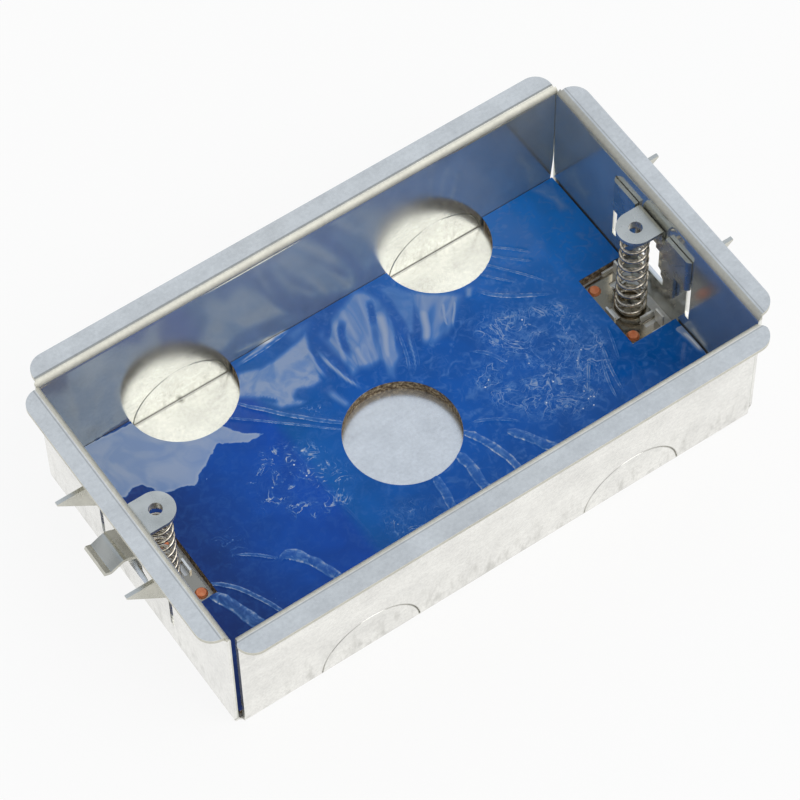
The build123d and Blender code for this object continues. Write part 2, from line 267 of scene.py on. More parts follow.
past_pad = put(tree, "ShaderNodeMath", {0: across, 1: clip_bay}, operation="GREATER_THAN")
upper_face = put(tree, "ShaderNodeMath", {0: height, 1: base_middle}, operation="GREATER_THAN")
base_face = put(tree, "ShaderNodeMath", {0: upper_face, 1: off_base}, operation="SUBTRACT")
under_clip = put(tree, "ShaderNodeMath", {0: past_pad, 1: base_face}, operation="MULTIPLY")
for value, bay, socket in ((finish, bay_roughness, "Roughness"), (duller, bay_metal, "Metallic")):
    chalky = put(tree, "ShaderNodeMix", {"Factor": under_clip, "A": value, "B": bay})
    tree.links.new(chalky.outputs["Result"], shader.inputs[socket])
relief = put(tree, "ShaderNodeBump", {"Height": surface, "Strength": 0.03, "Distance": 0.06 * MM})
tree.links.new(relief.outputs["Normal"], shader.inputs["Normal"])
# The near wall's ends are drawn in, and past the wall the flange's ends slope back out
near_wall = -35.85 * MM
near_wall_end = 64.4 * MM
flange_start = 37 * MM
flange_slope = 0.75
shell = bpy.data.objects.new("shell_sheet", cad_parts["box_shell"].data.copy())
bpy.context.scene.collection.objects.link(shell)
for vertex in shell.data.vertices:
    if vertex.co.y < near_wall:
        wall_end = near_wall_end + flange_slope * max(0, -vertex.co.y - flange_start)
        vertex.co.x = min(max(vertex.co.x, -wall_end), wall_end)
shell.data.update()
shell.data.materials.clear()
shell.data.materials.append(zinc)
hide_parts("box_shell")
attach(shell, "box")


# Fire pad
# A 2.8 mm mat of graphite-filled intumescent on the base. Only its cut edges show: brown, fibrous
# and crumbly from the punch at the holes, and dark where the film's border laps the outer rim.
fibre_size = 0.7 * MM
pad_rim_x = 64.4 * MM
pad_rim_y = 35.2 * MM
mat, tree, shader = start_material("intumescent_mat", Roughness=0.9)
place = put(tree, "ShaderNodeTexCoord").outputs["Object"]
fibre = put(tree, "ShaderNodeTexNoise", {"Vector": place, "Scale": 1 / fibre_size, "Detail": 5.0})
tone = put(
    tree,
    "ShaderNodeValToRGB",
    {"Fac": fibre},
    stops=[(0.3, linear("#3a2d20")), (0.5, linear("#84715a")), (0.68, linear("#c8b898"))],
)
axes = put(tree, "ShaderNodeSeparateXYZ", {"Vector": place})
beyond = []
for axis, limit in (("X", pad_rim_x), ("Y", pad_rim_y)):
    away = put(tree, "ShaderNodeMath", {0: axes.outputs[axis]}, operation="ABSOLUTE")
    past = put(tree, "ShaderNodeMath", {0: away, 1: limit}, operation="GREATER_THAN")
    beyond.append(past)
rim = put(tree, "ShaderNodeMath", {0: beyond[0], 1: beyond[1]}, operation="MAXIMUM")
sealed = put(tree, "ShaderNodeMix", {"Factor": rim, "A": tone, "B": linear("#101d3a")}, data_type="RGBA")
tree.links.new(sealed.outputs["Result"], shader.inputs["Base Color"])
crumb = put(tree, "ShaderNodeBump", {"Height": fibre, "Strength": 0.8, "Distance": 0.3 * MM})
tree.links.new(crumb.outputs["Normal"], shader.inputs["Normal"])
dress(["fire_pad"], mat)


# Pad film
# Glossy blue polythene laid over the mat and cut with it. It is slack, so it lies in folds that
# run out from the punched holes, with air under it at the back and fine crinkles at the front.
film_low, film_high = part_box("pad_film")
film_lap = 0.3 * MM
film_length = film_high.x - film_low.x + 2 * film_lap
film_width = film_high.y - film_low.y + 2 * film_lap
film_sheet = 0.2 * MM
film_top = film_low.z + film_sheet
film_rise = film_high.z - film_top
film_cell = 0.5 * MM
base_hole_radius = 13.0 * MM
side_cut_radius = 12.8 * MM
side_cut_x = 33.2 * MM
side_cut_y = 35.9 * MM
clip_cut_inner = 53.5 * MM
clip_cut_half = 10.0 * MM
cutter_height = 4 * MM
cutter_sides = 96


def only(obj):
    """Selects one object and makes it active."""
    bpy.ops.object.select_all(action="DESELECT")
    obj.select_set(True)
    bpy.context.view_layer.objects.active = obj


def settle(obj):
    """Puts an object's place, turn and scale into its mesh."""
    only(obj)
    bpy.ops.object.transform_apply(location=True, rotation=True, scale=True)


bpy.ops.object.select_all(action="DESELECT")
bpy.ops.mesh.primitive_grid_add(
    x_subdivisions=round(film_length / film_cell),
    y_subdivisions=round(film_width / film_cell),
    size=1,
    location=(0, 0, film_top),
)
film = bpy.context.object
film.name = "film_sheet"
film.scale = (film_length, film_width, 1)
settle(film)
thickness = film.modifiers.new("thickness", "SOLIDIFY")
thickness.thickness = film_sheet
thickness.offset = -1
bpy.ops.object.modifier_apply(modifier=thickness.name)

cutters = []
round_cuts = [(0, 0, base_hole_radius)]
for x in (-side_cut_x, side_cut_x):
    for y in (-side_cut_y, side_cut_y):
        round_cuts.append((x, y, side_cut_radius))
for x, y, radius in round_cuts:
    bpy.ops.mesh.primitive_cylinder_add(
        vertices=cutter_sides, radius=radius, depth=cutter_height, location=(x, y, film_top)
    )
    cutters.append(bpy.context.object)
for side in (-1, 1):
    bpy.ops.mesh.primitive_cube_add(size=1, location=(side * film_high.x, 0, film_top))
    cutter = bpy.context.object
    cutter.scale = (2 * (film_high.x - clip_cut_inner), 2 * clip_cut_half, cutter_height)
    cutters.append(cutter)
for cutter in cutters:
    settle(cutter)
bpy.ops.object.select_all(action="DESELECT")
for cutter in cutters:
    cutter.select_set(True)
bpy.context.view_layer.objects.active = cutters[0]
bpy.ops.object.join()
cutter = bpy.context.object
only(film)
cut = film.modifiers.new("cut_outs", "BOOLEAN")
cut.operation = "DIFFERENCE"
cut.solver = "EXACT"
cut.object = cutter
bpy.ops.object.modifier_apply(modifier=cut.name)
bpy.data.objects.remove(cutter, do_unlink=True)

# Folds of the slack film: start, a point on the way, end, half width in mm, and strength of their milk
# and painted highlight
folds = [
    ((-29, 31.5), (-16, 16), (-5, 6), 0.45, 1.0),
    ((-21, 34), (-12, 34.8), (-5, 35.4), 0.4, 1.0),
    ((14, 23), (12, 16), (9.5, 11.5), 0.35, 0.7),
    ((16, 20), (14, 15), (12, 11), 0.3, 0.5),
    ((40, 31), (46, 25.5), (50, 21.5), 0.25, 1.0),
    ((39, 29.5), (45, 23), (49, 19.5), 0.25, 1.0),
    ((37, 27.5), (43, 20.5), (49, 12), 0.28, 1.0),
    ((35.5, 25.5), (39, 21), (43, 16.5), 0.25, 1.0),
    ((33, 21.2), (39.5, 15), (48, 10), 0.5, 1.0),
    ((-56, -6.5), (-48.5, -13.4), (-43, -29), 0.5, 1.0),
    ((-46, -4.5), (-42, -7.3), (-38, -11.5), 0.35, 0.9),
    ((-39, -11.3), (-34, -13.6), (-29, -29), 1.2, 1.0),
    ((-22, 14), (-21, 1), (-19, -23), 0.3, 0.35),
    ((9, -6), (14.1, -14.6), (16, -34), 0.9, 1.0),
    ((5.5, -10), (7, -17), (5, -34), 1.1, 0.9),
    ((-0.6, -12), (-1.2, -18), (-4, -34), 0.9, 0.8),
    ((18, -12), (22, -17.4), (30, -32), 1.1, 1.0),
    ((12, -6), (18, -8.5), (23, -13), 0.35, 0.8),
    ((45, -6), (41, -11), (38, -15), 0.3, 1.0),
    ((48.5, -5), (46, -12), (44.5, -20), 0.35, 0.9),
    ((52, -2), (50, -8), (48.5, -12), 0.3, 0.7),
    ((23, 9), (27, 5), (28.5, 0), 0.4, 0.8),
    ((52, -13), (49, -19), (48, -25), 1.2, 0.35),
]
# Folds that run close beside one of those
folds_beside = [
    ((-33, 28), (-21, 17.8), (-6, 4), 0.25, 1.0),
    ((-56, -9.2), (-52.3, -15.5), (-48, -31), 1.2, 1.0),
    ((46.8, -7), (43.8, -14), (42.4, -20), 0.3, 0.9),
]
# Ridges of the gathers behind the base hole, lifted and painted with a pale highlight: start, a point
# on the way, end, half width in mm, and strength of the painted highlight
streaks = [
    ((7.5, 34), (2.3, 28.3), (-0.5, 18.3), 1.8, 0.68),
    ((5, 26.4), (3.6, 21.4), (3.2, 17.3), 1.9, 0.72),
    ((15.1, 30), (11.4, 24), (6.4, 12.7), 2.2, 0.76),
    ((11.9, 34.6), (10.8, 30.9), (9.5, 26), 1.5, 0.6),
    ((-4.1, 32), (-5.5, 26.6), (-5.8, 19.7), 1.3, 0.68),
    ((-3.5, 29.6), (-2.7, 21.4), (-0.6, 13.3), 0.9, 0.78),
    ((-7.4, 18.8), (-6.6, 15.1), (-5.6, 11.2), 1.5, 0.56),
    ((23.5, 26.5), (20, 20.3), (16.8, 14.5), 2.1, 0.76),
    ((27.3, 24.8), (24.8, 20.1), (23.1, 15.3), 0.9, 0.74),
    ((29.2, 23.6), (27, 19.4), (23.5, 15), 0.8, 0.74),
    ((33.5, 23), (32.1, 21.5), (31.2, 19.7), 1.5, 0.6),
    ((16.1, 22.2), (13.6, 15.9), (10.8, 10.7), 0.5, 0.6),
    ((-21.3, 34.2), (-12.7, 35.2), (-4.4, 35.7), 0.5, 0.9),
    ((-15, 36), (-10, 35.8), (-4.8, 35.4), 0.8, 0.95),
    ((64, -12), (64.3, -16), (64.8, -21.5), 1.2, 1.0),
]
# Valleys between them, kept dark by taking the painted highlight out: start, a point on the way, end,
# half width in mm
valleys = [
    ((-2.6, 31.4), (-1.9, 24.5), (-1, 17.9), 1.0),
    ((3.2, 34.6), (1.6, 30.9), (-0.7, 28.8), 1.0),
    ((15.9, 28.1), (14.1, 22.5), (10.7, 16.4), 1.0),
    ((5.9, 31.1), (2.9, 27.2), (1.7, 21.6), 1.0),
    ((13.4, 32.3), (12.2, 29.1), (10.2, 25.7), 0.9),
    ((-3.8, 30.6), (-4.5, 25.5), (-4.1, 21.3), 0.7),
    ((-13.3, 20.8), (-11.2, 20.1), (-9.4, 18.8), 1.0),
    ((-20.7, 25), (-19, 23.2), (-17.2, 21.3), 0.7),
]
# Air under the film: outline in mm, and how soft its shore is
air_pockets = [
    ([(-66, 37), (-46, 35), (-31, 23.5), (-29, 20.5), (-24.5, 16.8), (-28.5, 16.7), (-33.6, 20.3),
      (-37, 18.5), (-41, 16.3), (-43.4, 14.2), (-46, 15.7), (-48.3, 16), (-50.5, 17.5), (-52.4, 21),
      (-54.4, 21.4), (-57, 20.5), (-60.4, 22), (-66, 26)], 1),
    ([(63.4, -12), (66, -12), (65, -22)], 1),
]
# Soft veils where the film only just lifts, painted pale as milk and sheen: outline in mm, width of the
# shore in mm, and strength of the painted milk and sheen
veils = [
    ([(-20.5, 33), (-15.7, 31.2), (-9.1, 31.6), (-6, 32), (-2.8, 33), (-3.9, 27.9), (-6.5, 20.2),
      (-9.4, 20.2), (-12.2, 21.4), (-13.6, 20.4), (-11.9, 18), (-13.9, 17.9), (-17.9, 19.8),
      (-21.1, 24.9), (-26, 28)], 1.3, 0.7),
    ([(16, 34.2), (19.5, 32.9), (23, 28.1), (16.5, 18.8), (15, 19.9), (15.9, 24.1),
      (16.7, 29.2)], 1.2, 0.48),
    ([(-10, 36), (-6, 32), (-2, 33), (2, 36)], 2.5, 0.4),
    ([(58, 36), (63, 36), (64.2, 33.2), (63.7, 30.5), (63.8, 26.2), (60.5, 26.7), (60.8, 30.4),
      (59.6, 33.3)], 1.2, 0.5),
    ([(36, 36), (50, 35), (62, 34), (62, 22), (50, 20), (44, 24)], 9.0, 0.18),
]
# Outlines of the gathers that run in to the base hole from the back, in mm
gathers = [
    [(-0.7, 30.8), (2.6, 31.8), (6, 34.3), (11.6, 35.6), (13.5, 34.4), (15.4, 30.9), (15.4, 26.9),
     (13.8, 21.6), (10.3, 16), (6.4, 12.3), (5.8, 13.9), (6, 17), (3.2, 16.9), (1.6, 18.4),
     (-0.6, 18), (-0.5, 21.1), (-1, 25.4)],
    [(21.5, 30), (25, 26.6), (27, 25), (29.5, 23.4), (31, 21.4), (27, 18.6), (22.5, 14.6),
     (17.5, 15), (18.6, 20.6)],
]
# Crinkled stretches of the film, whose creases and net are painted pale as highlight and milk: outline
# in mm, share of short creases and share of net
crinkled = [
    ([(35, 15), (43, 11), (50, 6.5), (51, -2), (48, -11), (41, -18), (32, -20), (23, -13), (18, -3),
      (19, 5), (25, 9), (27, 16)], 0.7, 1.0),
    ([(-34, 10), (-27, 14), (-17, 11), (-13, -3), (-19, -10), (-30, -6), (-36, 2)], 1.0, 0.35),
    ([(-17, -10), (-7, -14), (1, -22), (-6, -28), (-16, -24)], 0.8, 0.5),
    ([(-15, 19), (-9, 16), (-8, 9), (-14, 12)], 0.9, 0.3),
    ([(-48, 2), (-43, 1), (-42, -6), (-48, -6)], 0.7, 0.2),
    ([(9, 17), (17, 13), (21, 8), (15, 7), (9, 12)], 0.5, 0.6),
]
# Sharp points of the film, each painted with a white glint: place and reach in mm
glint_points = [
    ((44.3, 5.1), 0.4), ((43.4, 0.5), 0.4), ((44.3, -2.9), 0.3), ((43.6, -4.8), 0.4),
    ((43.3, -6.6), 0.35), ((41.3, -8), 0.45), ((34.4, -4), 0.35), ((49.7, 30.1), 0.3),
    ((60.8, 22.5), 0.2), ((36.9, 21.7), 0.3),
    ((37.7, -14.4), 0.35), ((37.4, -15.8), 0.4), ((37.5, -17.7), 0.35), ((-8.4, -15.9), 0.35),
    ((-13.8, -20.3), 0.4), ((-40.4, 14.3), 0.35), ((-45.3, 12.7), 0.2), ((-31.2, 15.3), 0.25),
    ((-44.7, -3.2), 0.45), ((-46.8, -15), 0.25), ((-44.4, -18.1), 0.3), ((-40.6, -15), 0.25),
    ((42.6, -5.6), 0.3), ((44.1, 3.8), 0.3), ((22, -4), 0.25), ((30, -9), 0.3),
]

count = len(film.data.vertices)
points = np.empty(count * 3)
film.data.vertices.foreach_get("co", points)
points = points.reshape(-1, 3)
flat = points[:, :2] / MM
# Uneven values over the film: the length of their waves in mm, and the level of the noise they take
ragged, fine, sag = (
    np.array([noise.noise((x / length, y / length, level)) for x, y in flat])
    for length, level in ((5, 2.0), (1.6, 8.0), (15, 5.0))
)


def beside(start, end):
    """Share along a straight line, and signed distance from it in mm, for each film point."""
    run = end - start
    length = np.hypot(*run)
    out = flat - start
    share = np.clip(out @ run / length**2, 0, 1)
    side = out @ np.array((-run[1], run[0])) / length
    apart = np.hypot(*(out - share[:, None] * run).T)
    return share, np.where(side < 0, -apart, apart)


bend_parts = 8


def beside_bend(start, middle, end):
    """Share along a bent line, and signed distance from it in mm, for each film point."""
    start, middle, end = (np.array(place, float) for place in (start, middle, end))
    pull = 2 * middle - (start + end) / 2
    line = []
    for share in np.linspace(0, 1, bend_parts + 1):
        line.append((1 - share) ** 2 * start + 2 * share * (1 - share) * pull + share**2 * end)
    distance = np.full(count, np.inf)
    along = np.zeros(count)
    for part in range(bend_parts):
        share, apart = beside(line[part], line[part + 1])
        nearer = np.abs(apart) < np.abs(distance)
        distance[nearer] = apart[nearer]
        along[nearer] = (part + share[nearer]) / bend_parts
    return along, distance


# A fold narrows and fades over these shares of its length, and its painted light stops past a margin in
# mm
fold_tip = 1 / 4
fold_tip_width = 0.3
fold_fade = 1 / 6
fold_margin = 0.6
fold_sharpness = 3
fold_waver = 0.4
fold_fine_waver = 0.2
far_off = 9.0


def lay_folds(lines):
    """Offset in half widths, strength of milk and painted highlight, and half width in mm, of each film
    point's nearest fold.
    """
    offset = np.full(count, far_off)
    light = np.zeros(count)
    breadth = np.zeros(count)
    for start, middle, end, width, milk_and_painted_sheen in lines:
        along, distance = beside_bend(start, middle, end)
        from_tip = np.minimum(along, 1 - along)
        taper = width * np.clip(from_tip / fold_tip, fold_tip_width, 1)
        away = (distance + width * (fold_waver * ragged + fold_fine_waver * fine)) / taper
        nearer = np.abs(away) < np.abs(offset)
        fade = np.clip(from_tip / fold_fade, 0, 1)
        near = np.clip(fold_sharpness * (1 - (np.abs(away) - 1) * taper / fold_margin), 0, 1)
        offset[nearer] = away[nearer]
        light[nearer] = (milk_and_painted_sheen * fade * near)[nearer]
        breadth[nearer] = width
    return offset, light, breadth


fold_offset, fold_paleness, fold_breadth = lay_folds(folds)
beside_offset, beside_paleness, beside_breadth = lay_folds(folds_beside)

# A streak fades in and out over these shares of its length, and narrows towards its end
streak_rise = 1 / 3
streak_fall = 1 / 5
streak_start_width = 1.15
streak_narrowing = 0.5
streak_waver = 0.5
streak_crown = 1.3
streak = np.zeros(count)
for start, middle, end, width, milk_and_painted_sheen in streaks:
    along, distance = beside_bend(start, middle, end)
    fade = np.clip(along / streak_rise, 0, 1) * np.clip((1 - along) / streak_fall, 0, 1)
    half = width * (streak_start_width - streak_narrowing * along)
    crown = np.clip(1 - ((distance + streak_waver * ragged) / half) ** 2, 0, 1)
    streak = np.maximum(streak, milk_and_painted_sheen * fade * crown**streak_crown)
valley_fade = 1 / 4
valley_waver = 0.4
valley = np.zeros(count)
for start, middle, end, width in valleys:
    along, distance = beside_bend(start, middle, end)
    fade = np.clip(np.minimum(along, 1 - along) / valley_fade, 0, 1)
    hollow = np.clip(1 - ((distance + valley_waver * ragged) / width) ** 2, 0, 1)
    valley = np.maximum(valley, fade * hollow)


def depth_in(outline):
    """How deep each film point lies in a closed outline, in mm, below 0 outside."""
    corners = np.array(outline, float)
    apart = np.full(count, np.inf)
    inside = np.zeros(count, bool)
    for start, end in zip(corners, np.roll(corners, -1, axis=0)):
        apart = np.minimum(apart, np.abs(beside(start, end)[1]))
        crosses = (start[1] > flat[:, 1]) != (end[1] > flat[:, 1])
        rise = end[1] - start[1] or 1e-9
        meets = start[0] + (flat[:, 1] - start[1]) * (end[0] - start[0]) / rise
        inside ^= crosses & (flat[:, 0] < meets)
    return np.where(inside, apart, -apart)


air_reach = 3
air = np.full(count, -air_reach, float)
for outline, soft in air_pockets:
    air = np.maximum(air, depth_in(outline) / soft)
air = np.clip(air, -air_reach, air_reach)
# Each shore is some mm wide, has a value at the outline itself, and wavers
gather_shore = 2
gather_edge = 0.4
gather_waver = 0.4
gather = np.zeros(count)
for outline in gathers:
    zone = np.clip(depth_in(outline) / gather_shore + gather_edge + gather_waver * ragged, 0, 1)
    gather = np.maximum(gather, zone)
veil_edge = 0.25
veil_waver = 0.35
veil = np.zeros(count)
for outline, shore, milk_and_painted_sheen in veils:
    zone = np.clip(depth_in(outline) / shore + veil_edge + veil_waver * ragged, 0, 1)
    veil = np.maximum(veil, milk_and_painted_sheen * zone)
crinkle_shore = 3
crinkle_edge = 0.3
crinkle_waver = 0.5
crinkle = np.zeros(count)
web = np.zeros(count)
for outline, creases, strands in crinkled:
    zone = np.clip(depth_in(outline) / crinkle_shore + crinkle_edge + crinkle_waver * ragged, 0, 1)
    crinkle = np.maximum(crinkle, creases * zone)
    web = np.maximum(web, strands * zone)
glint_reach = 3
from_glint = np.full(count, glint_reach, float)
for point, reach in glint_points:
    from_glint = np.minimum(from_glint, np.hypot(*(flat - np.array(point, float)).T) / reach)

# How far folds, air and sag lift the film, as shares of the height of the CAD film's ridges
fold_lift = 0.7
air_lift = 0.2
sag_lift = 0.25
ridge = np.maximum(
    np.clip(1 - fold_offset**2, 0, 1) * fold_paleness,
    np.clip(1 - beside_offset**2, 0, 1) * beside_paleness,
)
lift = fold_lift * np.maximum(ridge, streak)
lift += air_lift * np.clip(air, 0, 1) + sag_lift * np.clip(sag, 0, 1)
points[:, 2] += np.minimum(lift, 1) * film_rise
film.data.vertices.foreach_set("co", points.ravel())
layers = {
    "fold_offset": fold_offset,
    "fold_paleness": fold_paleness,
    "fold_breadth": fold_breadth,
    "beside_offset": beside_offset,
    "beside_paleness": beside_paleness,
    "beside_breadth": beside_breadth,
    "veil": veil,
    "air": air,
    "gather": gather,
    "streak": streak,
    "valley": valley,
    "crinkle": crinkle,
    "web": web,
    "from_glint": from_glint,
}
for name, values in layers.items():
    layer = film.data.attributes.new(name, "FLOAT", "POINT")
    layer.data.foreach_set("value", values.astype(np.float32))
film.data.update()
only(film)
smooth_below = math.radians(50)
bpy.ops.object.shade_smooth_by_angle(angle=smooth_below)

# Blue polythene film: deep blue under a glossy skin, navy at the left end, with a painted step of
# shade where a fold shades it and greener past it, and painted lighter towards the back right. It
# goes pale and milky where it stands off the mat, with painted sheen there, a painted highlight along
# its folds' edges and ridges, and painted glints at the sharp little creases of the crinkled stretches.
film_skin, tree, shader = start_material(
    "blue_polythene_film", Roughness=0.12, IOR=1.5, Specular_IOR_Level=0.24
)
place = put(tree, "ShaderNodeTexCoord").outputs["Object"]
axes = put(tree, "ShaderNodeSeparateXYZ", {"Vector": place})
share = put(
    tree,
    "ShaderNodeMapRange",
    {"Value": axes.outputs["X"], "From Min": film_low.x, "From Max": film_high.x},
)
blue = put(
    tree,
    "ShaderNodeValToRGB",
    {"Fac": share},
    stops=[
        (0.0, linear("#11307c")),
        (0.12, linear("#0b3c8a")),
        (0.22, linear("#0450b2")),
        (0.33, linear("#0450ba")),
        (0.35, linear("#0062b6")),
        (0.5, linear("#005cba")),
        (0.75, linear("#045cb8")),
        (1.0, linear("#0862b6")),
    ],
)
# Patterns over the film, each a noise through a ramp: size of its marks, detail, distortion, and the
# place and light of each stop. Creases and nets are lines where the noise crosses its middle.
patterns = {
    "shade": (9 * MM, 3.0, 0.8, [(0.35, 0.84), (0.65, 1)]),
    "clusters": (6 * MM, 2.0, 0.5, [(0.36, 0.05), (0.52, 1)]),
    "breaks": (1.6 * MM, 2.0, 0.0, [(0.38, 0.1), (0.6, 1)]),
    "creases": (3.4 * MM, 3.0, 1.4, [(0.455, 0), (0.5, 0.95), (0.545, 0)]),
    "patches": (5 * MM, 2.0, 0.6, [(0.34, 0.25), (0.54, 1)]),
    "blobs": (2.6 * MM, 3.0, 1.8, [(0.5, 0), (0.6, 0.42), (0.7, 0.62)]),
    "coarse_net": (5.2 * MM, 3.0, 1.4, [(0.465, 0), (0.5, 0.75), (0.535, 0)]),
    "fine_net": (2.3 * MM, 3.0, 1.4, [(0.45, 0), (0.5, 0.5), (0.55, 0)]),
    "worn": (1.5 * MM, 4.0, 0.8, [(0.36, 0.45), (0.6, 0.95)]),
    "lace": (2.2 * MM, 5.0, 1.6, [(0.38, 0.42), (0.5, 0.62), (0.62, 1)]),
    "drift": (7 * MM, 4.0, 1.0, [(0.36, 0.86), (0.6, 1)]),
    "smoke": (5 * MM, 4.0, 1.4, [(0.34, 0.74), (0.58, 1)]),
    "haze": (2.2 * MM, 5.0, 1.2, [(0.46, 0), (0.58, 0.2), (0.74, 0.4)]),
}
light = {}
for name in layers:
    light[name] = put(tree, "ShaderNodeAttribute", attribute_name=name).outputs["Fac"]
for name, (size, detail, distortion, stops) in patterns.items():
    wave = put(
        tree,
        "ShaderNodeTexNoise",
        {"Vector": place, "Scale": 1 / size, "Detail": detail, "Distortion": distortion},
    )
    greys = [(stop, grey(value)) for stop, value in stops]
    light[name] = put(tree, "ShaderNodeValToRGB", {"Fac": wave}, stops=greys)

# Painted light: the film is painted a lighter, clearer blue towards the back right corner
corner_from = 40 * MM
corner_full = 90 * MM
corner_share = 0.62
diagonal = put(tree, "ShaderNodeMath", {0: axes.outputs["X"], 1: axes.outputs["Y"]}, operation="ADD")
painted_light_corner = put(
    tree,
    "ShaderNodeMapRange",
    {"Value": diagonal, "From Min": corner_from, "From Max": corner_full, "To Max": corner_share},
)
painted_lighter_blue = put(
    tree,
    "ShaderNodeMix",
    {"Factor": painted_light_corner, "A": blue, "B": linear("#1894ff")},
    data_type="RGBA",
)
deep = put(
    tree,
    "ShaderNodeMix",
    {"Factor": 1.0, "A": painted_lighter_blue, "B": light["shade"]},
    data_type="RGBA",
    blend_type="MULTIPLY",
)

# Painted glints: white sparks over the crinkled stretches, and white dots at the film's sharp points
spot_spacing = 2.4 * MM
spots = put(tree, "ShaderNodeTexVoronoi", {"Vector": place, "Scale": 1 / spot_spacing})
light["spark"] = put(
    tree,
    "ShaderNodeValToRGB",
    {"Fac": spots},
    stops=[(0.06, grey(1)), (0.12, grey(0))],
)
grit_size = 0.7 * MM
grit_share = 1.6
grit = put(tree, "ShaderNodeTexNoise", {"Vector": place, "Scale": 1 / grit_size, "Detail": 2.0})
torn = put(
    tree,
    "ShaderNodeMath",
    {0: grit, 1: grit_share, 2: light["from_glint"]},
    operation="MULTIPLY_ADD",
)
torn_share = put(tree, "ShaderNodeMapRange", {"Value": torn, "From Max": glint_reach})
light["dots"] = put(
    tree,
    "ShaderNodeValToRGB",
    {"Fac": torn_share},
    stops=[(0.38, grey(1)), (0.58, grey(0))],
)

# Painted highlight on the pleats of the gathers, which run out from the base hole
pleat_width = 3.8 * MM
pleat_length = 20 * MM
pleat_radius = 24 * MM
heading = put(tree, "ShaderNodeMath", {0: axes.outputs["Y"], 1: axes.outputs["X"]}, operation="ARCTAN2")
out = put(tree, "ShaderNodeVectorMath", {0: place}, operation="LENGTH")
around = put(tree, "ShaderNodeMath", {0: heading, 1: pleat_radius / pleat_width}, operation="MULTIPLY")
outward = put(tree, "ShaderNodeMath", {0: out, 1: 1 / pleat_length}, operation="MULTIPLY")
spoke = put(tree, "ShaderNodeCombineXYZ", {"X": around, "Y": outward})
pleats = put(
    tree,
    "ShaderNodeTexNoise",
    {"Vector": spoke, "Scale": 1.0, "Detail": 2.5, "Distortion": 0.35},
)
light["pleats"] = put(
    tree,
    "ShaderNodeValToRGB",
    {"Fac": pleats},
    stops=[
        (0.32, grey(0.32)),
        (0.44, grey(0.56)),
        (0.52, grey(0.64)),
        (0.6, grey(0.5)),
        (0.7, grey(0.68)),
    ],
)

# Folds get a painted highlight along both edges and are milky between them, and lacy where they are
# broad
fold_edge = 1.2
broad_from = 0.6
broad_full = 0.9
for fold in ("fold", "beside"):
    across = put(
        tree,
        "ShaderNodeMapRange",
        {"Value": light[fold + "_offset"], "From Min": -fold_edge, "From Max": fold_edge},
    )
    edge = put(
        tree,
        "ShaderNodeValToRGB",
        {"Fac": across},
        stops=[
            (0.0, grey(0)),
            (0.1, grey(1)),
            (0.24, grey(0.5)),
            (0.6, grey(0.42)),
            (0.9, grey(0.85)),
            (1.0, grey(0)),
        ],
    )
    broad = put(
        tree,
        "ShaderNodeMapRange",
        {"Value": light[fold + "_breadth"], "From Min": broad_from, "From Max": broad_full},
    )
    milky = put(tree, "ShaderNodeMix", {"Factor": broad, "A": light["worn"], "B": light["lace"]})
    lit = put(tree, "ShaderNodeMath", {0: edge, 1: light[fold + "_paleness"]}, operation="MULTIPLY")
    light[fold + "_light"] = put(tree, "ShaderNodeMath", {0: lit, 1: milky}, operation="MULTIPLY")

# Where air lifts the film it is painted pale as milk and sheen, up to a wavering shore
wander_size = 3 * MM
wander_share = 1.8
wander = put(
    tree,
    "ShaderNodeTexNoise",
    {"Vector": place, "Scale": 1 / wander_size, "Detail": 4.0, "Distortion": 0.4},
)
stray = put(
    tree,
    "ShaderNodeMath",
    {0: wander, 1: wander_share, 2: -wander_share / 2},
    operation="MULTIPLY_ADD",
)
shore = put(tree, "ShaderNodeMath", {0: light["air"], 1: stray}, operation="ADD")
shore_share = put(tree, "ShaderNodeMapRange", {"Value": shore, "From Min": -1.0, "From Max": air_reach})
light["pocket"] = put(
    tree,
    "ShaderNodeValToRGB",
    {"Fac": shore_share},
    stops=[(0.2, grey(0)), (0.27, grey(0.78)), (0.4, grey(0.7)), (1.0, grey(0.74))],
)
light["ground"] = put(tree, "ShaderNodeMath", {0: 1.0, 1: light["valley"]}, operation="SUBTRACT")
# Painted sheen: a faint pale haze over the film, stronger towards the right
light["haze_share"] = put(
    tree,
    "ShaderNodeValToRGB",
    {"Fac": share},
    stops=[(0.3, grey(0.35)), (0.55, grey(1))],
)

